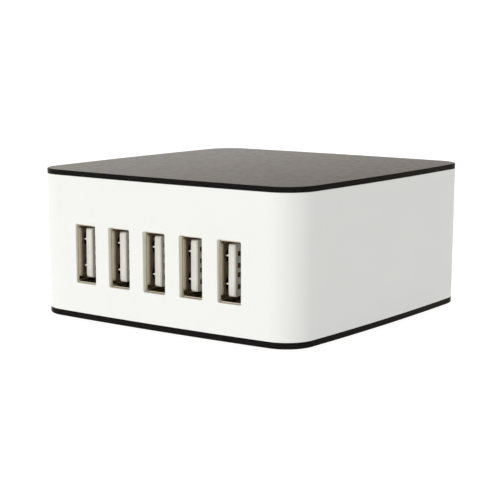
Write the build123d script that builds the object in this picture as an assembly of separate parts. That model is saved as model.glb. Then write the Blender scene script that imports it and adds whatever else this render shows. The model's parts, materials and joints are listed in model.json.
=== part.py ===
from build123d import *
import os
from math import copysign, sqrt

# Five-port desktop charger: a white sleeve closed by a dark lid and a dark base, with its supply board
# inside. Millimetres, +Z up. The ports face -Y, the mains inlet faces +Y, and the origin is on the surface
# that the feet stand on, under the middle of the case.

# Case
case_height = 33.4  # underside of the base to the top of the lid
side_crown = 1.0  # how far each side bows out at its middle
corner_radius = 7.0
case_draft = 0.13  # each side stands this far out at the top of the sleeve, and in at its bottom
wall = 2.0
fit_gap = 0.15  # between moulded parts that slide together
lid_edge = 1.17  # edge of the lid that shows above the sleeve
lid_edge_round = 0.2
base_edge = 1.42  # edge of the base that shows below the sleeve
base_edge_bevel = 0.2
skirt_wall = 1.2  # lid skirt and base rim, both inside the sleeve
skirt_height = 3.5

# Snaps of the lid, one in the middle of each side
snap_length = 12.0
snap_height = 1.2
snap_depth = 0.7
snap_drop = 1.5  # from the underside of the lid to the top of the snap

# Feet, case screws and the posts that they go into
foot_diameter = 8.0
foot_proud = 0.8
foot_sunk = 0.5
foot_bevel = 0.3
post_inset = 9.1  # from the middle of a side to the line of the posts
post_diameter = 6.0
post_height = 10.0
post_rib = 1.4
post_rib_drop = 1.0  # top of the rib below the top of the post
pad_diameter = 9.0
pad_height = 2.35  # raised floor of the base under each post
screw_head_diameter = 5.6
screw_head_height = 1.8
screw_head_bevel = 0.5
screw_head_gap = 0.3
screw_shank = 2.5
screw_clearance = 0.35
screw_reach = 8.0  # into the post
screw_hole_spare = 0.5  # pilot hole beyond the tip of the screw
drive_share = 0.55  # cross recess in a screw head, as a share of the head's width and height
drive_slot = 0.7

# Ports
port_count = 5
port_pitch = 10.0
row_margin = 13.67  # from the end port to the side of the case, which sets the width of the case
port_row_shift = -0.4  # middle of the row from the middle of the case
port_level = 14.9  # middle of a port above the underside of the base
port_gap_side = 0.08  # case opening around a socket shell
port_gap_end = 0.08
port_flare = 0.13  # the opening widens by this at each side, from the socket mouth to the front
port_corner = 0.4
socket_recess = 0.9  # socket mouth behind the middle of the front

# Socket shell, a folded sheet standing on its narrow side
socket_inner_width = 5.2
socket_inner_height = 12.7
socket_sheet = 0.25
socket_corner = 0.35
socket_depth = 14.0
spring_window_height = 2.7
spring_window_mouth = 0.7  # height of the window at its narrow front
spring_window_flare = 0.4  # length over which the window widens
spring_window_start = 1.8
spring_window_end = 7.0
spring_spread = 6.0  # between the two springs of a wall
spring_root_width = 1.6
spring_crest_width = 0.6
spring_tip_width = 0.2
spring_lift = 0.5
spring_tip = 0.15  # from the front of its window
spring_crest = 0.5
tab_width = 1.8
tab_place = 8.0
tab_below = 1.2  # below the board
tab_hole_gap = 0.25

# Socket insulator and contacts
tongue_end_gap = 0.8  # between an end of the tongue and the shell
tongue_thickness = 1.84
tongue_back_gap = 0.68  # between the tongue and the wall behind it
tongue_recess = 1.55
tongue_bevel = 0.25
tongue_corner_side = 0.22  # cut corners on the side away from the contacts
tongue_corner_end = 0.6
insulator_block = 3.6
contact_offsets = (-3.5, -1.0, 1.0, 3.5)
contact_width = 1.0
contact_sheet = 0.25
contact_setback = 1.05  # from the front of the tongue
contact_gap = 0.03
tail_width = 0.6
tail_start = 0.8
tail_pitch = 1.3
lead_below = 1.2  # leads below the board
lead_hole_gap = 0.2

# Mains inlet, a two-pole socket with a waisted mouth
inlet_recess = 0.3
inlet_mouth_radius = 3.9
inlet_pole_spacing = 8.6
inlet_waist = 5.4
inlet_wall_side = 1.2
inlet_wall_end = 1.25
inlet_corner = 3.0
inlet_cavity = 14.5
inlet_floor = 4.0
pin_diameter = 2.4
pin_tip_recess = 3.5
pin_tail_thickness = 0.8
pin_tail_width = 1.2
pin_tail_reach = 2.0  # behind the inlet

# Main board
board_thickness = 1.6
board_gap = 0.3
board_notch_gap = 0.6
board_screw_inset = 3.3  # from the side of the board
board_screw_step = 8.0  # from the line of the posts
boss_diameter = 5.0
boss_floor = 0.9  # under the pilot hole of a boss
board_screw_shank = 1.7
board_screw_clearance = 0.3
board_screw_head = 3.8
board_screw_head_height = 1.4
board_screw_head_bevel = 0.4
lead_diameter = 0.7
lead_seat = 1.0  # length of a lead inside its part
part_gap = 0.8  # between neighbouring parts on the board

# Transformer
core_width = 25.0
core_height = 15.0
core_depth = 7.0
core_leg = 3.0  # outer legs and yokes
core_middle = 7.0
bobbin_wall = 1.0
bobbin_gap = 0.1
bobbin_depth = 16.0
rail_depth = 3.0
winding_gap = 0.6  # winding inside the edge of the flanges
winding_corner = 2.5

# Other supply parts
can_groove = 0.4
can_groove_level = 2.2
can_bevel = 0.5
bulk_diameter = 10.0
bulk_height = 16.0
bulk_count = 2
bulk_leads = 5.0
output_diameter = 6.3
output_height = 12.0
output_pitch = 9.2
output_count = 4
output_leads = 2.5
fuse_diameter = 6.5
fuse_height = 7.5
fuse_base = 1.5
fuse_step = 0.3
fuse_leads = 4.0
film_length = 13.0
film_depth = 6.0
film_height = 12.0
film_leads = 10.0
film_rim = 0.6
disc_diameter = 8.0
disc_thickness = 3.6
disc_bevel = 1.2
disc_lift = 1.0
disc_leads = 5.0
drum_diameter = 6.5
drum_height = 7.0
drum_flange = 1.2
drum_waist = 1.0
drum_leads = 3.0
choke_outer = 9.0
choke_inner = 5.0
choke_height = 5.0
choke_wire = 0.7
choke_opening = 2.0
bridge_width = 14.0
bridge_depth = 3.6
bridge_height = 10.0
bridge_lift = 2.0
bridge_bevel = 1.6
bridge_lead_pitch = 3.8
bridge_lead_count = 4
device_width = 10.0
device_depth = 4.4
device_height = 8.5
device_lift = 3.0
device_tab = 1.3
device_tab_rise = 4.0
device_lead_pitch = 2.54
device_lead_count = 3
sink_width = 12.0
sink_height = 16.0
sink_sheet = 1.5
sink_foot = 5.0
chip_stand = 0.25
chip_leg = 0.7
coupler_length = 4.6
coupler_width = 6.4
coupler_height = 3.0
coupler_leg_pitch = 2.54
coupler_legs = 2
control_length = 4.9
control_width = 3.9
control_height = 1.5
control_leg_pitch = 1.27
control_legs = 4

# Levels and places that follow from the sizes above
socket_width = socket_inner_width + 2 * socket_sheet
socket_height = socket_inner_height + 2 * socket_sheet
port_width = socket_width + 2 * port_gap_side
port_height = socket_height + 2 * port_gap_end
case_width = (port_count - 1) * port_pitch + port_width + 2 * row_margin
base_bottom = foot_proud
sleeve_bottom = base_bottom + base_edge
lid_top = base_bottom + case_height
sleeve_top = lid_top - lid_edge
case_half = case_width / 2
case_square = case_half - side_crown
side_radius = (case_square**2 + side_crown**2) / (2 * side_crown)
post_place = case_half - post_inset
post_bottom = sleeve_bottom + pad_height
post_top = post_bottom + post_height
port_z = base_bottom + port_level
socket_mouth = -case_half + socket_recess
board_top = port_z - socket_height / 2
board_bottom = board_top - board_thickness
board_half = case_square - wall - board_gap
inlet_depth = inlet_cavity + inlet_floor
inlet_mouth = case_half - inlet_recess
inlet_width = inlet_pole_spacing + 2 * inlet_mouth_radius + 2 * inlet_wall_side
inlet_height = 2 * inlet_mouth_radius + 2 * inlet_wall_end
inlet_z = board_top + inlet_height / 2
inlet_poles = (-inlet_pole_spacing / 2, inlet_pole_spacing / 2)
tongue_left = -socket_inner_width / 2 + tongue_back_gap
tongue_face = tongue_left + tongue_thickness
tongue_width = socket_inner_height - 2 * tongue_end_gap
corners = [(x, y) for x in (-1, 1) for y in (-1, 1)]
post_places = [(post_place * x, post_place * y) for x, y in corners]
board_screw_x = board_half - board_screw_inset
board_screw_y = post_place - board_screw_step
board_screw_places = [(board_screw_x * x, board_screw_y * y) for x, y in corners]
board_screw_reach = board_bottom - sleeve_bottom - boss_floor
port_places = [port_row_shift + (i - (port_count - 1) / 2) * port_pitch for i in range(port_count)]


def case_outline(inset=0.0):
    """Outline of the case: four shallow arcs with rounded corners, moved in by a distance."""
    radius = side_radius - inset
    middle = case_half - inset
    beyond = side_radius - case_half  # centre of a side's arc, past the middle of the case
    square = (sqrt(2 * radius**2 - beyond**2) - beyond) / 2
    ends = [(-square, -square), (square, -square), (square, square), (-square, square)]
    middles = [(0, -middle), (middle, 0), (0, middle), (-middle, 0)]
    sides = [ThreePointArc(ends[i], middles[i], ends[(i + 1) % 4]) for i in range(4)]
    outline = Sketch() + make_face(sides)
    return fillet(outline.vertices(), corner_radius - inset)


def case_ring(outer_inset, inner_inset, bottom, top):
    """Upright band between two insets of the case outline."""
    ring = case_outline(outer_inset) - case_outline(inner_inset)
    return Pos(0, 0, bottom) * extrude(ring, top - bottom)


def block(x0, x1, y0, y1, z0, z1):
    """Box between two corners."""
    return Pos((x0 + x1) / 2, (y0 + y1) / 2, (z0 + z1) / 2) * Box(x1 - x0, y1 - y0, z1 - z0)


def post(x, y, diameter, bottom, top):
    """Upright cylinder."""
    return Pos(x, y, (bottom + top) / 2) * Cylinder(diameter / 2, top - bottom)


def upright(sketch, x, y, z):
    """Section drawn in X and Z, set up at a place."""
    return Plane(origin=(x, y, z), x_dir=(1, 0, 0), z_dir=(0, -1, 0)) * sketch


def along_y(sketch, x, z, start, end):
    """Section drawn in X and Z, carried along Y."""
    return extrude(upright(sketch, x, end, z), end - start)


def snap_zone(bottom, top, spare):
    """Space of the snaps: a short length in the middle of each side."""
    long = snap_length + 2 * spare
    far = case_width
    across = block(-long / 2, long / 2, -far, far, bottom, top)
    return across + block(-far, far, -long / 2, long / 2, bottom, top)


def port_section(flare=0.0):
    """Outline of a port opening, wider at each side by a flare."""
    return RectangleRounded(port_width + 2 * flare, port_height, port_corner)


def port_opening():
    """Opening of a port, from a socket mouth at the origin: straight behind it, flared in front of it."""
    straight = along_y(port_section(), 0, 0, 0, wall + side_crown)
    front = upright(port_section(2 * port_flare), 0, -2 * socket_recess, 0)
    return straight + loft([upright(port_section(), 0, 0, 0).face(), front.face()])


def housing_sleeve():
    """White sleeve: a band with openings for ports and inlet, four screw posts and the snap pockets."""
    ends = [(sleeve_bottom, case_draft), (sleeve_top, -case_draft)]
    outside = loft([(Pos(0, 0, z) * case_outline(inset)).face() for z, inset in ends], ruled=True)
    band = outside - Pos(0, 0, sleeve_bottom) * extrude(case_outline(wall), sleeve_top - sleeve_bottom)
    inside = Pos(0, 0, post_bottom) * extrude(case_outline(wall / 2), post_height)
    rib_top = post_top - post_rib_drop
    for x, y in post_places:
        x0, x1 = sorted((x, copysign(case_half, x)))
        y0, y1 = sorted((y, copysign(case_half, y)))
        ribs = block(x0, x1, y - post_rib / 2, y + post_rib / 2, post_bottom, rib_top)
        ribs += block(x - post_rib / 2, x + post_rib / 2, y0, y1, post_bottom, rib_top)
        band += ribs & inside
        band += post(x, y, post_diameter, post_bottom, post_top)
    for x, y in post_places:
        band -= post(x, y, screw_shank, post_bottom, post_bottom + screw_reach + screw_hole_spare)
    opening = port_opening()
    for x in port_places:
        band -= Pos(x, socket_mouth, port_z) * opening
    through = wall + side_crown
    band -= along_y(inlet_outline(fit_gap), 0, inlet_z, case_half - through, case_half + through)
    pocket_top = sleeve_top - snap_drop + fit_gap
    pocket_bottom = pocket_top - snap_height - 2 * fit_gap
    pocket = case_ring(wall - snap_depth, wall + fit_gap, pocket_bottom, pocket_top)
    return band - (pocket & snap_zone(pocket_bottom, pocket_top, fit_gap))


def top_cover():
    """Dark lid: a plate flush with the sleeve, with a skirt and four snap ridges inside it."""
    plate = Pos(0, 0, sleeve_top) * extrude(case_outline(-case_draft), lid_edge)
    plate = fillet(plate.faces().sort_by(Axis.Z)[-1].edges(), lid_edge_round)
    outside = wall + fit_gap
    skirt = case_ring(outside, outside + skirt_wall, sleeve_top - skirt_height, sleeve_top)
    ridge_top = sleeve_top - snap_drop
    ridge_bottom = ridge_top - snap_height
    ridge = case_ring(outside - snap_depth, outside + skirt_wall / 2, ridge_bottom, ridge_top)
    return plate + skirt + (ridge & snap_zone(ridge_bottom, ridge_top, 0))


def base_plate():
    """Dark base: a plate with a locating rim, pads for the case screws, board bosses and foot recesses."""
    plate = Pos(0, 0, base_bottom) * extrude(case_outline(case_draft), base_edge)
    plate = chamfer(plate.faces().sort_by(Axis.Z)[0].edges(), base_edge_bevel)
    outside = wall + fit_gap
    plate += case_ring(outside, outside + skirt_wall, sleeve_bottom, post_bottom - fit_gap)
    recess_top = base_bottom + foot_sunk
    head_top = recess_top + screw_head_height
    for x, y in post_places:
        plate += post(x, y, pad_diameter, sleeve_bottom, post_bottom)
    for x, y in board_screw_places:
        plate += post(x, y, boss_diameter, sleeve_bottom, board_bottom)
        plate -= post(x, y, board_screw_shank, board_bottom - board_screw_reach, board_bottom)
    for x, y in post_places:
        plate -= post(x, y, foot_diameter + 2 * fit_gap, base_bottom, recess_top)
        plate -= post(x, y, screw_head_diameter + 2 * screw_head_gap, recess_top, head_top)
        plate -= post(x, y, screw_shank + 2 * screw_clearance, head_top, post_bottom)
    return plate


def rubber_foot(x, y):
    """Round rubber foot, stuck in its recess over the screw head."""
    foot = post(x, y, foot_diameter, 0, foot_proud + foot_sunk)
    return chamfer(foot.faces().sort_by(Axis.Z)[0].edges(), foot_bevel)


def screw(head, head_height, head_bevel, shank, length):
    """Pan-head screw pointing up, with the underside of its head at the origin and a cross recess."""
    body = post(0, 0, shank, 0, length)
    pan = post(0, 0, head, -head_height, 0)
    pan = chamfer(pan.faces().sort_by(Axis.Z)[0].edges(), head_bevel)
    arm = head * drive_share / 2
    floor = head_height * drive_share - head_height
    cross = block(-arm, arm, -drive_slot / 2, drive_slot / 2, -head_height, floor)
    cross += block(-drive_slot / 2, drive_slot / 2, -arm, arm, -head_height, floor)
    return body + pan - cross


def case_screws():
    """Four self-tapping screws, up through the base into the posts of the sleeve."""
    seat = base_bottom + foot_sunk + screw_head_height
    length = post_bottom - seat + screw_reach
    one = screw(screw_head_diameter, screw_head_height, screw_head_bevel, screw_shank, length)
    return [Pos(x, y, seat) * one for x, y in post_places]


def board_screws():
    """Four small screws, down through the board into the bosses of the base."""
    length = board_thickness + board_screw_reach
    head = (board_screw_head, board_screw_head_height, board_screw_head_bevel)
    one = Rot(180, 0, 0) * screw(*head, board_screw_shank, length)
    return [Pos(x, y, board_top) * one for x, y in board_screw_places]


# Sockets, drawn with the middle of the mouth at the origin and the depth along +Y
def socket_section(margin=0.0):
    """Inner outline of the shell, or one moved out by a margin."""
    return RectangleRounded(
        socket_inner_width + 2 * margin, socket_inner_height + 2 * margin, socket_corner + margin
    )


def across_socket(widths):
    """Cut right across the socket, with an upright width at each of some places along its depth."""
    edge = [(y, width / 2) for y, width in widths]
    outline = make_face(Polyline(*edge, *[(y, -z) for y, z in reversed(edge)], close=True))
    return extrude(Plane.YZ * outline, socket_width, both=True)


def spring_window():
    """Window of a leaf spring, with a narrow front where the tip of the spring lies."""
    wide = spring_window_start + spring_window_flare
    widths = [(spring_window_start, spring_window_mouth), (wide, spring_window_height)]
    return across_socket([*widths, (spring_window_end, spring_window_height)])


def spring_finger():
    """Leaf spring of the left wall: it rises from the rear of its window, then curls back to a narrow tip."""
    face = -socket_width / 2
    tip = spring_window_start + spring_tip
    crest = spring_window_start + spring_crest
    bend = spring_window_end - socket_sheet
    root = spring_window_end + socket_sheet
    line = [(face, root), (face, bend), (face + spring_lift, crest), (face, tip)]
    back = [(x + socket_sheet, y) for x, y in reversed(line)]
    strip = extrude(make_face(Polyline(*line, *back, close=True)), spring_root_width / 2, both=True)
    widths = [(root, spring_root_width), (bend, spring_root_width)]
    widths += [(crest, spring_crest_width), (tip, spring_tip_width)]
    return strip & across_socket(widths)


def socket_shell():
    """Folded steel shell with two springs in each broad wall and two tabs for the board."""
    shell = along_y(socket_section(socket_sheet) - socket_section(), 0, 0, 0, socket_depth)
    half = socket_width / 2
    window, finger = spring_window(), spring_finger()
    for z in (-spring_spread / 2, spring_spread / 2):
        shell -= Pos(0, 0, z) * window
        shell += Pos(0, 0, z) * finger
        shell += Pos(0, 0, z) * mirror(finger, Plane.YZ)
    tab_top = -socket_inner_height / 2 + socket_corner
    tab_bottom = -socket_height / 2 - board_thickness - tab_below
    for side in (-half, half - socket_sheet):
        y0, y1 = tab_place - tab_width / 2, tab_place + tab_width / 2
        shell += block(side, side + socket_sheet, y0, y1, tab_bottom, tab_top)
    return shell


def contact_strip(z, margin=0.0):
    """Straight length of one contact, along the tongue and out behind the insulator."""
    start = tongue_recess + contact_setback - margin
    half = contact_width / 2 + margin
    return block(tongue_face - contact_sheet - margin, tongue_face, start, socket_depth, z - half, z + half)


def socket_insulator():
    """White insulator: a block that closes the back of the shell, and the tongue with the contacts."""
    body = along_y(socket_section(), 0, 0, socket_depth - insulator_block, socket_depth)
    half = tongue_width / 2
    cut_x, cut_z = tongue_left + tongue_corner_side, half - tongue_corner_end
    upper = [(tongue_left, cut_z), (cut_x, half), (tongue_face, half)]
    lower = [(x, -z) for x, z in reversed(upper)]
    section = make_face(Polyline(*upper, *lower, close=True))
    tongue = along_y(section, 0, 0, tongue_recess, socket_depth - insulator_block / 2)
    body += chamfer(tongue.faces().sort_by(Axis.Y)[0].edges(), tongue_bevel)
    for z in contact_offsets:
        body -= contact_strip(z, contact_gap)
    return body


def tail_places():
    """Distance of each contact's tail behind the mouth, the lowest contact first."""
    return [socket_depth + tail_start + i * tail_pitch for i in range(len(contact_offsets))]


def socket_contacts():
    """Flat stamped contacts, each with a tail that goes down through the board behind the shell."""
    bottom = -socket_height / 2 - board_thickness - lead_below
    contacts = []
    for z, tail in zip(contact_offsets, tail_places()):
        strip = contact_strip(z)
        x0, x1 = tongue_face - contact_sheet, tongue_face
        end = tail + tail_width / 2
        strip += block(x0, x1, socket_depth, end, z - contact_width / 2, z + contact_width / 2)
        strip += block(x0, x1, tail - tail_width / 2, end, bottom, z)
        contacts.append(strip)
    return contacts


# Mains inlet
def inlet_outline(margin=0.0):
    """Outer outline of the inlet, or one moved out by a margin."""
    return RectangleRounded(inlet_width + 2 * margin, inlet_height + 2 * margin, inlet_corner + margin)


def inlet_mouth_section():
    """Waisted mouth of the inlet: two round poles and the bridge between them."""
    poles = [Pos(x, 0) * Circle(inlet_mouth_radius) for x in inlet_poles]
    return Rectangle(inlet_pole_spacing, inlet_waist) + poles


def ac_inlet_body():
    """Black inlet housing, standing on the board with its mouth in the rear opening of the sleeve."""
    back, floor = inlet_mouth - inlet_depth, inlet_mouth - inlet_cavity
    body = along_y(inlet_outline(), 0, inlet_z, back, inlet_mouth)
    body -= along_y(inlet_mouth_section(), 0, inlet_z, floor, inlet_mouth)
    for x in inlet_poles:
        body -= along_y(Circle(pin_diameter / 2), x, inlet_z, back, floor)
    return body


def inlet_tail():
    """Place of the pin tails along Y."""
    return inlet_mouth - inlet_depth - pin_tail_reach


def ac_inlet_pins():
    """Two round pins with domed tips and flat tails that go down through the board."""
    pins = []
    radius = pin_diameter / 2
    for x in inlet_poles:
        tip = inlet_mouth - pin_tip_recess - radius
        pin = along_y(Circle(radius), x, inlet_z, inlet_tail(), tip)
        pin += Pos(x, tip, inlet_z) * Sphere(radius)
        y0, y1 = inlet_tail() - pin_tail_thickness / 2, inlet_tail() + pin_tail_thickness / 2
        x0, x1 = x - pin_tail_width / 2, x + pin_tail_width / 2
        pin += block(x0, x1, y0, y1, board_bottom - lead_below, inlet_z)
        pins.append(pin)
    return pins


# Supply parts, each drawn standing on the board with its middle at the origin
def lead_row(count, pitch):
    """Places of leads in a row along X."""
    return [((i - (count - 1) / 2) * pitch, 0) for i in range(count)]


def with_leads(body, places, top):
    """A part with round wire leads that go down through the board."""
    for x, y in places:
        body += post(x, y, lead_diameter, -board_thickness - lead_below, top)
    return body


def turned(profile):
    """Solid turned about Z from a half profile of radii and heights."""
    return revolve(Plane.XZ * make_face(Polyline(*profile, close=True)), Axis.Z)


def can_capacitor(diameter, height):
    """Electrolytic capacitor: a can with a rolled groove near its foot and a bevelled rim."""
    radius = diameter / 2
    groove = [(radius, can_groove_level - can_groove), (radius - can_groove, can_groove_level)]
    groove.append((radius, can_groove_level + can_groove))
    rim = [(radius, height - can_bevel), (radius - can_bevel, height)]
    return turned([(0, 0), (radius, 0), *groove, *rim, (0, height)])


def radial_fuse():
    """Round fuse: a cap that stands on a slightly wider base."""
    radius = fuse_diameter / 2
    cap = radius - fuse_step
    rim = [(cap, fuse_height - can_bevel), (cap - can_bevel, fuse_height)]
    return turned([(0, 0), (radius, 0), (radius, fuse_base), (cap, fuse_base), *rim, (0, fuse_height)])


def drum_inductor():
    """Drum core with its winding sunk between two flanges."""
    drum = post(0, 0, drum_diameter, 0, drum_height)
    ring = Circle(drum_diameter / 2) - Circle(drum_diameter / 2 - drum_waist)
    return drum - Pos(0, 0, drum_flange) * extrude(ring, drum_height - 2 * drum_flange)


def film_capacitor():
    """Boxed film capacitor with rounded upright and top edges."""
    case = block(-film_length / 2, film_length / 2, -film_depth / 2, film_depth / 2, 0, film_height)
    return fillet(case.edges().filter_by(Axis.Z) + case.faces().sort_by(Axis.Z)[-1].edges(), film_rim)


def disc_capacitor():
    """Dipped disc capacitor standing on its leads."""
    level = disc_lift + disc_diameter / 2
    disc = along_y(Circle(disc_diameter / 2), 0, level, -disc_thickness / 2, disc_thickness / 2)
    rims = disc.edges().filter_by(GeomType.CIRCLE)
    return chamfer(rims, disc_bevel)


def choke_core():
    """Toroid lying flat, one wire above the board."""
    ring = Circle(choke_outer / 2) - Circle(choke_inner / 2)
    return Pos(0, 0, choke_wire) * extrude(ring, choke_height)


def choke_winding():
    """Two banks of wire round the toroid, with a gap at each end."""
    ring = Circle(choke_outer / 2 + choke_wire) - Circle(choke_inner / 2 - choke_wire)
    top = choke_height + 2 * choke_wire
    bank = extrude(ring, top) - choke_core()
    gap = block(-choke_outer, choke_outer, -choke_opening / 2, choke_opening / 2, 0, top)
    return list((bank - gap).solids())


def tab_device():
    """Power device in a flat moulded case, with its metal tab on the plane of its heatsink."""
    half = device_width / 2
    top = device_lift + device_height
    body = block(-half, half, -device_depth, -device_tab, device_lift, top)
    return body + block(-half, half, -device_tab, 0, device_lift, top + device_tab_rise)


def heatsink():
    """Bent aluminium plate with a foot that stands on the board."""
    half = sink_width / 2
    return block(-half, half, 0, sink_sheet, 0, sink_height) + block(-half, half, 0, sink_foot, 0, sink_sheet)


def bridge_rectifier():
    """Flat bridge rectifier with one bevelled upper corner, held up on its leads."""
    top = bridge_lift + bridge_height
    body = block(-bridge_width / 2, bridge_width / 2, -bridge_depth / 2, bridge_depth / 2, bridge_lift, top)
    upper = body.faces().sort_by(Axis.Z)[-1].edges().filter_by(Axis.Y)
    return chamfer(upper.sort_by(Axis.X)[-1], bridge_bevel)


def chip(length, width, height, pitch, legs):
    """Moulded chip with a row of legs along each long side, seated on the board."""
    body = block(-length / 2, length / 2, -width / 2, width / 2, chip_stand, chip_stand + height)
    for x, _ in lead_row(legs, pitch):
        for side in (-1, 1):
            y0, y1 = sorted((side * width / 2, side * (width / 2 + chip_leg)))
            body += block(x - chip_leg / 2, x + chip_leg / 2, y0, y1, 0, chip_stand + height / 2)
    return body


def transformer_core():
    """Ferrite core: two closed windows round a middle leg, seated on the board."""
    core = block(-core_width / 2, core_width / 2, -core_depth / 2, core_depth / 2, 0, core_height)
    inner, outer = core_middle / 2, core_width / 2 - core_leg
    for x0, x1 in ((-outer, -inner), (inner, outer)):
        core -= block(x0, x1, -core_depth / 2, core_depth / 2, core_leg, core_height - core_leg)
    return core


def bobbin_ring(half_x, half_y, bottom, top):
    """Block with the middle leg's hole through it."""
    leg = block(-core_middle / 2, core_middle / 2, -core_depth / 2, core_depth / 2, bottom, top)
    return block(-half_x, half_x, -half_y, half_y, bottom, top) - leg


def transformer_bobbin():
    """Bobbin on the middle leg: a tube, two flanges and two rails that stand on the board."""
    low, high = core_leg, core_height - core_leg
    half_x, half_y = core_width / 2 - core_leg - bobbin_gap, bobbin_depth / 2
    bobbin = bobbin_ring(core_middle / 2 + bobbin_wall, core_depth / 2 + bobbin_wall, low, high)
    bobbin += bobbin_ring(half_x, half_y, low, low + bobbin_wall)
    bobbin += bobbin_ring(half_x, half_y, high - bobbin_wall, high)
    for side in (-1, 1):
        y0, y1 = sorted((side * half_y, side * (half_y - rail_depth)))
        bobbin += block(-half_x, half_x, y0, y1, 0, low)
    return bobbin


def transformer_winding():
    """Taped winding between the flanges of the bobbin."""
    low, high = core_leg + bobbin_wall, core_height - core_leg - bobbin_wall
    long = core_width - 2 * (core_leg + bobbin_gap + winding_gap)
    deep = bobbin_depth - 2 * winding_gap
    tube = Rectangle(core_middle + 2 * bobbin_wall, core_depth + 2 * bobbin_wall)
    return Pos(0, 0, low) * extrude(RectangleRounded(long, deep, winding_corner) - tube, high - low)


def supply_parts():
    """Layout of the board: name, place, turn about Z, body, lead places and height that the leads reach."""
    # Left column: two heatsinks with their devices, between the board screws
    sink_x = -board_half + part_gap + sink_foot
    sink_y = (sink_width + part_gap) / 2
    device_row = lead_row(device_lead_count, device_lead_pitch)
    device_leads = [(x, -device_depth / 2) for x, _ in device_row]
    device_seat = device_lift + device_height / 2
    # Right column: fuse in front of the post, then the bridge and the bulk capacitors
    film_x = inlet_width / 2 + part_gap + film_depth / 2
    film_y = inlet_mouth - inlet_depth + film_length / 2
    fuse_x = film_x + film_depth / 2 + part_gap + fuse_diameter / 2
    fuse_y = post_place - post_diameter / 2 - board_notch_gap - fuse_diameter / 2
    bridge_x = board_half - part_gap - bridge_width / 2
    bridge_y = fuse_y - fuse_diameter / 2 - part_gap - bridge_depth / 2
    bridge_leads = lead_row(bridge_lead_count, bridge_lead_pitch)
    bridge_seat = bridge_lift + lead_seat
    bulk_x = board_half - part_gap - bulk_diameter / 2
    bulk_y = bridge_y - bridge_depth / 2 - part_gap - bulk_diameter / 2
    # Middle: output capacitors behind the sockets, and the transformer between them and the inlet
    output_y = socket_mouth + tail_places()[-1] + tail_width / 2 + part_gap + output_diameter / 2
    core_y = (output_y + output_diameter / 2 + inlet_tail() - pin_tail_thickness / 2) / 2
    core_x = (sink_x + device_depth + bulk_x - bulk_diameter / 2) / 2
    # Between the left column and the transformer, and beside the inlet
    alley_x = (sink_x + device_depth + core_x - core_width / 2) / 2
    choke_x = -(inlet_width / 2 + post_place - post_diameter / 2) / 2
    choke_y = post_place - board_screw_head
    parts = [
        ("fuse", (fuse_x, fuse_y), 0, radial_fuse(), lead_row(2, fuse_leads), lead_seat),
        ("x_capacitor", (film_x, film_y), 90, film_capacitor(), lead_row(2, film_leads), lead_seat),
        ("bridge_rectifier", (bridge_x, bridge_y), 0, bridge_rectifier(), bridge_leads, bridge_seat),
        ("y_capacitor", (alley_x, core_y), 90, disc_capacitor(), lead_row(2, disc_leads), disc_diameter / 2),
        ("output_inductor", (alley_x, -sink_y), 0, drum_inductor(), lead_row(2, drum_leads), drum_flange / 2),
        ("switching_transistor", (sink_x, sink_y), 90, tab_device(), device_leads, device_seat),
        ("output_rectifier", (sink_x, -sink_y), 90, tab_device(), device_leads, device_seat),
        ("primary_heatsink", (sink_x, sink_y), 90, heatsink(), [], 0),
        ("secondary_heatsink", (sink_x, -sink_y), 90, heatsink(), [], 0),
        ("choke_core", (choke_x, choke_y), 0, choke_core(), [], 0),
        ("choke_winding", (choke_x, choke_y), 0, choke_winding(), [], 0),
        ("transformer_core", (core_x, core_y), 0, transformer_core(), [], 0),
        ("transformer_bobbin", (core_x, core_y), 0, transformer_bobbin(), [], 0),
        ("transformer_winding", (core_x, core_y), 0, transformer_winding(), [], 0),
    ]
    for i in range(bulk_count):
        place = (bulk_x, bulk_y - i * (bulk_diameter + part_gap))
        can = can_capacitor(bulk_diameter, bulk_height)
        parts.append((f"bulk_capacitor_{i + 1}", place, 90, can, lead_row(2, bulk_leads), lead_seat))
    for i, (x, _) in enumerate(lead_row(output_count, output_pitch)):
        can = can_capacitor(output_diameter, output_height)
        leads = lead_row(2, output_leads)
        parts.append((f"output_capacitor_{i + 1}", (x, output_y), 0, can, leads, lead_seat))
    return parts


def underside_chips():
    """The two chips under the board, between its leads: the control chip and the optocoupler."""
    control = chip(control_length, control_width, control_height, control_leg_pitch, control_legs)
    coupler = chip(coupler_length, coupler_width, coupler_height, coupler_leg_pitch, coupler_legs)
    row = -socket_mouth - socket_depth
    return [("control_chip", (0, row / 2), control), ("optocoupler", (row / 2, 0), coupler)]


def main_board(holes):
    """Supply board, notched at the corners for the posts, with holes for screws, socket tabs and leads."""
    board = Rectangle(2 * board_half, 2 * board_half)
    notch = post_place - post_diameter / 2 - board_notch_gap
    far = 2 * board_half
    for x, y in corners:
        board -= Pos(x * (notch + far / 2), y * (notch + far / 2)) * Rectangle(far, far)
    for x, y in board_screw_places:
        board -= Pos(x, y) * Circle(board_screw_shank / 2 + board_screw_clearance)
    tab_slot = Rectangle(socket_sheet + 2 * tab_hole_gap, tab_width + 2 * tab_hole_gap)
    tail_slot = Rectangle(contact_sheet + 2 * lead_hole_gap, tail_width + 2 * lead_hole_gap)
    for x in port_places:
        for side in (-1, 1):
            board -= Pos(x + side * (socket_width - socket_sheet) / 2, socket_mouth + tab_place) * tab_slot
        for tail in tail_places():
            board -= Pos(x + tongue_face - contact_sheet / 2, socket_mouth + tail) * tail_slot
    pin_slot = Rectangle(pin_tail_width + 2 * lead_hole_gap, pin_tail_thickness + 2 * lead_hole_gap)
    for x in inlet_poles:
        board -= Pos(x, inlet_tail()) * pin_slot
    for x, y in holes:
        board -= Pos(x, y) * Circle(lead_diameter / 2 + lead_hole_gap)
    return Pos(0, 0, board_bottom) * extrude(board, board_thickness)


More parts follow.
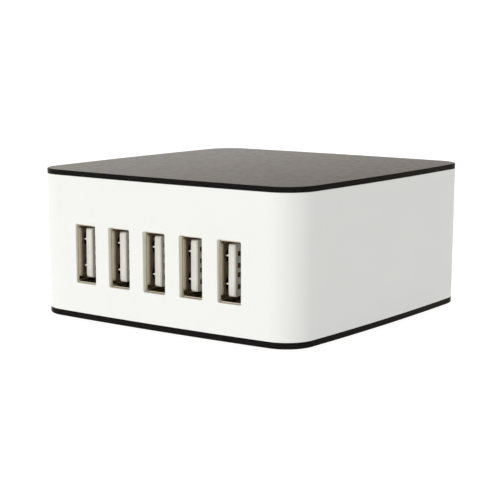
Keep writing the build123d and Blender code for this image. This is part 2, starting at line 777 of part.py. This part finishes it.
def write(name, piece):
    """Writes one named piece, or a group of separate solids, to its own file."""
    solids = piece if isinstance(piece, list) else list(piece.solids())
    shape = solids[0] if len(solids) == 1 else Compound(children=solids)
    shape.label = name
    export_step(shape, f"parts/{name}.step")


def main():
    """Builds every piece and writes it."""
    os.makedirs("parts", exist_ok=True)
    write("housing_sleeve", housing_sleeve())
    write("top_cover", top_cover())
    write("base_plate", base_plate())
    for i, (x, y) in enumerate(post_places):
        write(f"rubber_foot_{i + 1}", rubber_foot(x, y))
    write("case_screws", case_screws())
    write("board_screws", board_screws())
    shell, insulator, contacts = socket_shell(), socket_insulator(), socket_contacts()
    for i, x in enumerate(port_places):
        place = Pos(x, socket_mouth, port_z)
        write(f"usb_shell_{i + 1}", place * shell)
        write(f"usb_insulator_{i + 1}", place * insulator)
        write(f"usb_contacts_{i + 1}", [place * contact for contact in contacts])
    write("ac_inlet_body", ac_inlet_body())
    write("ac_inlet_pins", ac_inlet_pins())
    holes = []
    for name, (x, y), turn, body, leads, top in supply_parts():
        place = Pos(x, y, board_top) * Rot(0, 0, turn)
        if isinstance(body, list):
            write(name, [place * solid for solid in body])
        else:
            write(name, place * with_leads(body, leads, top))
        for spot in leads:
            hole = (Pos(x, y, 0) * Rot(0, 0, turn) * Pos(*spot)).position
            holes.append((hole.X, hole.Y))
    for name, (x, y), body in underside_chips():
        write(name, Pos(x, y, board_bottom) * Rot(180, 0, 0) * body)
    write("main_board", main_board(holes))


main()
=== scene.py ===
import json
import math

import bpy
from mathutils import Matrix, Vector


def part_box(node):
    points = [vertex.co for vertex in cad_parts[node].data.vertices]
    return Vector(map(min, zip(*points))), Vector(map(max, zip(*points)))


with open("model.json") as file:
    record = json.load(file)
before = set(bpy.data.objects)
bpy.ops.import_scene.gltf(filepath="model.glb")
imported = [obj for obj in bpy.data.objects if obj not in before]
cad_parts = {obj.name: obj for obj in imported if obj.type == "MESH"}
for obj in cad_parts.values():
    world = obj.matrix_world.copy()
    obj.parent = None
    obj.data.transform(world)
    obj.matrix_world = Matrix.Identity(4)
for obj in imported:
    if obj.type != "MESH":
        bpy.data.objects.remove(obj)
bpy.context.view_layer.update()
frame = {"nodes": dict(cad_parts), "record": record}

NODES = frame["nodes"]
MM = 0.001
WHITE = (1.0, 1.0, 1.0)
UP = (0.0, 0.0, 1.0)

# Camera, fitted to the outline in a picture 500 pixels square
IMAGE_SIDE = 500.0
FOCAL_PIXELS = 1420.5
SENSOR = 36.0
CLIP_START = 10.0 * MM
AZIMUTH = math.radians(36.03)
ELEVATION = math.radians(8.82)
ROLL = math.radians(0.10)
DISTANCE = 333.96 * MM
AIM_RIGHT = -1.167 * MM  # from the middle of the case, across the picture
AIM_UP = -3.392 * MM

# Surroundings: white at the horizon, warmer above it, and dim on the right
HORIZON_LEVEL = 1.02
HORIZON_BAND = (1.2, 9.0)  # degrees above the horizon between which the white fades
UPPER_TINT = (1.0, 0.975, 0.945)
LEFT_LEVEL = 1.1
RIGHT_LEVEL = 0.16
LEVEL_SPREAD = 0.32  # sine of the angle to each side over which the level changes

# Soft boxes, in metres and watts, aimed at the middle of the case
OVERHEAD_BOX = dict(place=(0.0, 0.1, 1.1), width=1.0, height=1.0, power=1.0)
KEY_BOX = dict(place=(0.2, -1.1, 0.40), width=1.5, height=0.6, power=2.2)
LIGHT_AIM = Vector((0.0, 0.0, 17.0 * MM))

# Floor: a lit table, so that hardly any shadow lies on it
FLOOR_RADIUS = 2.5
FLOOR_SIDES = 96
FLOOR_COLOUR = (0.31, 0.31, 0.31)
FLOOR_ROUGHNESS = 0.9
FLOOR_SPECULAR = 0.2
FLOOR_GLOW = 0.96

# Fine detail of the surfaces
EVEN = (1.0, 1.0, 1.0)  # noise that isn't stretched
NOISE_BAND = (0.3, 0.7)  # values between which nearly all of the noise lies
MOTTLE_DETAIL = 3.0
GRAIN_DETAIL = 2.0
EDGE_SAMPLES = 6

# Walls of the port openings, which stand square to the front and lie just behind it, and the painted
# warm bounce light on them
OPENING_DEPTH = 2.5 * MM
OPENING_MARGIN = 2.5 * MM  # beyond the last socket at each end of the row
OPENING_TURN = 0.5  # largest share of a wall's direction that points to the front
# painted warm bounce light: a warm tint multiplied into the colour of the opening walls
OPENING_PAINTED_BOUNCE = (1.0, 0.98, 0.87)

# Large pieces
CASE_COLOUR = (0.76, 0.772, 0.748)
COVER_COLOUR = (0.009, 0.0087, 0.0083)
COVER_SPECULAR = 0.0077  # nearly no gloss face on, and much at a low angle
COVER_SHEEN = {"Sheen Weight": 0.11, "Sheen Roughness": 0.35, "Sheen Tint": (0.92, 0.63, 0.3, 1.0)}
RUBBER_COLOUR = (0.02, 0.02, 0.021)

# Small pieces, by the slots of the record
PLASTICS = {
    "socket_insulator": dict(colour=(0.73, 0.725, 0.68), roughness=0.4),
    "inlet_plastic": dict(colour=(0.015, 0.015, 0.016), roughness=0.42),
    "board": dict(colour=(0.03, 0.16, 0.06), roughness=0.35),
    "can_sleeve": dict(colour=(0.03, 0.035, 0.06), roughness=0.25),
    "yellow_box": dict(colour=(0.62, 0.40, 0.04), roughness=0.45),
    "blue_dip": dict(colour=(0.03, 0.10, 0.40), roughness=0.25),
    "fuse_body": dict(colour=(0.05, 0.03, 0.02), roughness=0.4),
    "ferrite": dict(colour=(0.05, 0.05, 0.055), roughness=0.55),
    "bobbin": dict(colour=(0.02, 0.02, 0.02), roughness=0.5),
    "winding_tape": dict(colour=(0.70, 0.50, 0.05), roughness=0.3),
    "device": dict(colour=(0.02, 0.02, 0.02), roughness=0.5),
}
METALS = {
    "screw_steel": dict(colour=(0.46, 0.46, 0.47), roughness=0.34),
    "socket_steel": dict(colour=(0.53, 0.465, 0.375), roughness=0.12, spread=0.03, lines=0.1),
    "contact_metal": dict(colour=(0.40, 0.26, 0.14), roughness=0.25),
    "inlet_pin": dict(colour=(0.70, 0.69, 0.65), roughness=0.22),
    "copper_wire": dict(colour=(0.72, 0.33, 0.16), roughness=0.28, stretch=(1.0, 1.0, 18.0)),
    "heatsink": dict(colour=(0.74, 0.74, 0.75), roughness=0.38),
}


def node_by_type(tree, kind):
    """First node of a kind in a node tree."""
    return next(n for n in tree.nodes if n.type == kind)


def shader_inputs(material):
    """Sockets of a material's principled shader."""
    return node_by_type(material.node_tree, "BSDF_PRINCIPLED").inputs


def new_material(name, colour, roughness, metallic=0.0, specular=0.5):
    """Material with a principled shader and its constant values set on the shader itself."""
    material = bpy.data.materials.new(name)
    material.use_nodes = True
    sockets = shader_inputs(material)
    sockets["Base Color"].default_value = (*colour, 1.0)
    sockets["Roughness"].default_value = roughness
    sockets["Metallic"].default_value = metallic
    sockets["Specular IOR Level"].default_value = specular
    return material


def noise(tree, scale, detail, stretch):
    """Noise in the object's own coordinates, in metres."""
    coordinates = tree.nodes.new("ShaderNodeTexCoord")
    mapping = tree.nodes.new("ShaderNodeMapping")
    mapping.inputs["Scale"].default_value = stretch
    texture = tree.nodes.new("ShaderNodeTexNoise")
    texture.inputs["Scale"].default_value = scale
    texture.inputs["Detail"].default_value = detail
    tree.links.new(coordinates.outputs["Object"], mapping.inputs["Vector"])
    tree.links.new(mapping.outputs["Vector"], texture.inputs["Vector"])
    return texture.outputs["Fac"]


def vary_colour(material, colour, spread, scale, stretch=EVEN):
    """Soft mottling between a slightly darker and a slightly lighter tone."""
    tree = material.node_tree
    ramp = tree.nodes.new("ShaderNodeValToRGB")
    dark, light = ramp.color_ramp.elements
    dark.position, light.position = NOISE_BAND
    dark.color = (*[c * (1 - spread) for c in colour], 1.0)
    light.color = (*[min(1.0, c * (1 + spread)) for c in colour], 1.0)
    tree.links.new(noise(tree, scale, MOTTLE_DETAIL, stretch), ramp.inputs["Fac"])
    tree.links.new(ramp.outputs["Color"], shader_inputs(material)["Base Color"])


def vary_roughness(material, roughness, spread, scale, stretch=EVEN):
    """Roughness that wanders to both sides of its mean."""
    tree = material.node_tree
    wander = tree.nodes.new("ShaderNodeMapRange")
    wander.inputs["From Min"].default_value = NOISE_BAND[0]
    wander.inputs["From Max"].default_value = NOISE_BAND[1]
    wander.inputs["To Min"].default_value = roughness - spread
    wander.inputs["To Max"].default_value = roughness + spread
    tree.links.new(noise(tree, scale, MOTTLE_DETAIL, stretch), wander.inputs["Value"])
    tree.links.new(wander.outputs["Result"], shader_inputs(material)["Roughness"])


def add_grain(material, scale, height, strength, edge, stretch=EVEN):
    """Fine moulded or drawn grain as bump, over edges that are softened by a small radius."""
    tree = material.node_tree
    bump = tree.nodes.new("ShaderNodeBump")
    bump.inputs["Strength"].default_value = strength
    bump.inputs["Distance"].default_value = height
    tree.links.new(noise(tree, scale, GRAIN_DETAIL, stretch), bump.inputs["Height"])
    bevel = tree.nodes.new("ShaderNodeBevel")
    bevel.samples = EDGE_SAMPLES
    bevel.inputs["Radius"].default_value = edge
    tree.links.new(bevel.outputs["Normal"], bump.inputs["Normal"])
    tree.links.new(bump.outputs["Normal"], shader_inputs(material)["Normal"])


def split(tree, kind, output):
    """The three parts of a vector that a node gives."""
    parts = tree.nodes.new("ShaderNodeSeparateXYZ")
    tree.links.new(tree.nodes.new(kind).outputs[output], parts.inputs["Vector"])
    return parts.outputs


def near(tree, value, centre, reach):
    """1 where a value lies within reach of a centre, and 0 elsewhere."""
    compare = tree.nodes.new("ShaderNodeMath")
    compare.operation = "COMPARE"
    compare.inputs[1].default_value = centre
    compare.inputs[2].default_value = reach
    tree.links.new(value, compare.inputs[0])
    return compare.outputs["Value"]


def both(tree, one, other):
    """1 where two marks are 1, and 0 elsewhere."""
    product = tree.nodes.new("ShaderNodeMath")
    product.operation = "MULTIPLY"
    tree.links.new(one, product.inputs[0])
    tree.links.new(other, product.inputs[1])
    return product.outputs["Value"]


def paint_bounce_on_openings(material):
    """Painted warm bounce light from the metal of the sockets, multiplied into the colour of the walls
    of the openings round them.
    """
    tree = material.node_tree
    base = shader_inputs(material)["Base Color"]
    mottled = base.links[0].from_socket
    place = split(tree, "ShaderNodeTexCoord", "Object")
    facing = split(tree, "ShaderNodeNewGeometry", "Normal")
    row = near(tree, place["X"], 0.0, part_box("usb_shell_5")[1].x + OPENING_MARGIN)
    depth = near(tree, place["Y"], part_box("housing_sleeve")[0].y, OPENING_DEPTH)
    walls = both(tree, both(tree, row, depth), near(tree, facing["Y"], 0.0, OPENING_TURN))
    # painted warm bounce light: the wall colour is multiplied by the warm tint
    tint = tree.nodes.new("ShaderNodeMixRGB")
    tint.blend_type = "MULTIPLY"
    tint.inputs["Color2"].default_value = (*OPENING_PAINTED_BOUNCE, 1.0)
    tree.links.new(walls, tint.inputs["Fac"])
    tree.links.new(mottled, tint.inputs["Color1"])
    tree.links.new(tint.outputs["Color"], base)


def white_case():
    """White moulded case plastic, satin, with a barely warm tone, and painted warm bounce light on the
    walls of the port openings.
    """
    roughness = 0.42
    material = new_material("white_case_plastic", CASE_COLOUR, roughness)
    vary_colour(material, CASE_COLOUR, spread=0.008, scale=60.0)
    paint_bounce_on_openings(material)
    vary_roughness(material, roughness, spread=0.04, scale=220.0)
    add_grain(material, scale=5200.0, height=0.012 * MM, strength=0.25, edge=0.18 * MM)
    return material


def dark_cover():
    """Black satin plastic of the lid and base, spark-eroded grain."""
    roughness = 0.13
    material = new_material("dark_cover_plastic", COVER_COLOUR, roughness, specular=COVER_SPECULAR)
    for socket, value in COVER_SHEEN.items():
        shader_inputs(material)[socket].default_value = value
    vary_colour(material, COVER_COLOUR, spread=0.5, scale=2500.0)
    vary_roughness(material, roughness, spread=0.04, scale=620.0)
    add_grain(material, scale=4200.0, height=0.006 * MM, strength=0.15, edge=0.15 * MM)
    return material


def rubber():
    """Matt black rubber."""
    material = new_material("foot_rubber", RUBBER_COLOUR, roughness=0.8, specular=0.3)
    vary_colour(material, RUBBER_COLOUR, spread=0.2, scale=700.0)
    add_grain(material, scale=3500.0, height=0.04 * MM, strength=0.5, edge=0.1 * MM)
    return material


def plain_plastic(name, colour, roughness):
    """Moulded plastic for sockets, packages and boxes."""
    material = new_material(name, colour, roughness)
    vary_colour(material, colour, spread=0.05, scale=400.0)
    vary_roughness(material, roughness, spread=0.06, scale=500.0)
    add_grain(material, scale=2600.0, height=0.01 * MM, strength=0.2, edge=0.08 * MM)
    return material


def sheet_metal(name, colour, roughness, spread=0.08, lines=0.3, stretch=(1.0, 14.0, 1.0)):
    """Plated or rolled metal with faint drawing lines."""
    material = new_material(name, colour, roughness, metallic=1.0)
    vary_colour(material, colour, spread=0.07, scale=500.0, stretch=stretch)
    vary_roughness(material, roughness, spread, scale=900.0, stretch=stretch)
    add_grain(material, scale=1800.0, height=0.008 * MM, strength=lines, edge=0.05 * MM, stretch=stretch)
    return material


def build_materials():
    """One finished material for every slot of the record."""
    materials = {"white_case": white_case(), "dark_cover": dark_cover(), "foot_rubber": rubber()}
    for slot, look in PLASTICS.items():
        materials[slot] = plain_plastic(slot, **look)
    for slot, look in METALS.items():
        materials[slot] = sheet_metal(slot, **look)
    return materials


def dress_nodes():
    """Gives each node of the frame the material of its slot."""
    materials = build_materials()
    for entry in frame["record"]["subparts"]:
        mesh = NODES[entry["node"]].data
        mesh.materials.clear()
        mesh.materials.append(materials[entry["material_slot"]])


def camera_axes():
    """Unit vectors across, up and back from the picture, before the camera's slight roll."""
    flat = math.cos(ELEVATION)
    back = Vector((math.sin(AZIMUTH) * flat, -math.cos(AZIMUTH) * flat, math.sin(ELEVATION)))
    right = Vector((math.cos(AZIMUTH), math.sin(AZIMUTH), 0.0))
    up = back.cross(right)
    return right, up, back


def add_camera():
    """Camera at the fitted place, looking a little below and left of the middle of the case."""
    right, up, back = camera_axes()
    low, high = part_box("base_plate")[0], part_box("top_cover")[1]
    middle = Vector((0.0, 0.0, (low.z + high.z) / 2))
    place = middle + right * AIM_RIGHT + up * AIM_UP + back * DISTANCE
    rolled_right = right * math.cos(ROLL) + up * math.sin(ROLL)
    rolled_up = up * math.cos(ROLL) - right * math.sin(ROLL)
    data = bpy.data.cameras.new("camera")
    data.sensor_width = SENSOR
    data.sensor_fit = "HORIZONTAL"
    data.lens = FOCAL_PIXELS * SENSOR / IMAGE_SIDE
    data.clip_start = CLIP_START
    camera = bpy.data.objects.new("camera", data)
    turn = Matrix((rolled_right, rolled_up, back)).transposed()
    camera.matrix_world = Matrix.Translation(place) @ turn.to_4x4()
    bpy.context.scene.collection.objects.link(camera)
    bpy.context.scene.camera = camera


def add_floor():
    """Plain pale floor, far wider than the picture."""
    angles = [2 * math.pi * i / FLOOR_SIDES for i in range(FLOOR_SIDES)]
    ring = [(FLOOR_RADIUS * math.cos(a), FLOOR_RADIUS * math.sin(a), 0.0) for a in angles]
    mesh = bpy.data.meshes.new("floor")
    mesh.from_pydata(ring, [], [list(range(FLOOR_SIDES))])
    floor = bpy.data.objects.new("floor", mesh)
    bpy.context.scene.collection.objects.link(floor)
    material = new_material("pale_floor", FLOOR_COLOUR, FLOOR_ROUGHNESS, specular=FLOOR_SPECULAR)
    sockets = shader_inputs(material)
    sockets["Emission Color"].default_value = (*WHITE, 1.0)
    sockets["Emission Strength"].default_value = FLOOR_GLOW
    mesh.materials.append(material)


def along(tree, direction, axis, start, end):
    """Smooth step of a direction's share along an axis, from 0 at the start to 1 at the end."""
    dot = tree.nodes.new("ShaderNodeVectorMath")
    dot.operation = "DOT_PRODUCT"
    dot.inputs[1].default_value = axis
    step = tree.nodes.new("ShaderNodeMapRange")
    step.interpolation_type = "SMOOTHSTEP"
    step.inputs["From Min"].default_value = start
    step.inputs["From Max"].default_value = end
    tree.links.new(direction, dot.inputs[0])
    tree.links.new(dot.outputs["Value"], step.inputs["Value"])
    return step.outputs["Result"]


def add_surroundings():
    """World that is brighter on the left of the picture, with a white horizon all round."""
    world = bpy.data.worlds.new("surroundings")
    world.use_nodes = True
    tree = world.node_tree
    background = node_by_type(tree, "BACKGROUND")
    direction = tree.nodes.new("ShaderNodeTexCoord").outputs["Generated"]
    low, high = (math.sin(math.radians(angle)) for angle in HORIZON_BAND)
    rise = along(tree, direction, UP, low, high)
    left = along(tree, direction, -camera_axes()[0], -LEVEL_SPREAD, LEVEL_SPREAD)
    upper = tree.nodes.new("ShaderNodeMapRange")
    upper.inputs["To Min"].default_value = RIGHT_LEVEL
    upper.inputs["To Max"].default_value = LEFT_LEVEL
    tree.links.new(left, upper.inputs["Value"])
    level = tree.nodes.new("ShaderNodeMapRange")
    level.inputs["To Min"].default_value = HORIZON_LEVEL
    tree.links.new(rise, level.inputs["Value"])
    tree.links.new(upper.outputs["Result"], level.inputs["To Max"])
    tree.links.new(level.outputs["Result"], background.inputs["Strength"])
    tint = tree.nodes.new("ShaderNodeValToRGB")
    tint.color_ramp.elements[0].color = (*WHITE, 1.0)
    tint.color_ramp.elements[1].color = (*UPPER_TINT, 1.0)
    tree.links.new(rise, tint.inputs["Fac"])
    tree.links.new(tint.outputs["Color"], background.inputs["Color"])
    bpy.context.scene.world = world


def add_softbox(name, place, width, height, power):
    """Oblong area light aimed at the case."""
    data = bpy.data.lights.new(name, "AREA")
    data.shape = "RECTANGLE"
    data.size = width
    data.size_y = height
    data.energy = power
    light = bpy.data.objects.new(name, data)
    turn = (LIGHT_AIM - Vector(place)).to_track_quat("-Z", "Y").to_matrix()
    light.matrix_world = Matrix.Translation(place) @ turn.to_4x4()
    bpy.context.scene.collection.objects.link(light)


def add_lights():
    """Surroundings, a soft box overhead and a wide key in front."""
    add_surroundings()
    add_softbox("overhead", **OVERHEAD_BOX)
    add_softbox("key", **KEY_BOX)


def set_view():
    """Plain display transform, so that whites stay white."""
    bpy.context.scene.view_settings.view_transform = "Standard"
    bpy.context.scene.view_settings.look = "None"


dress_nodes()
add_camera()
add_floor()
add_lights()
set_view()
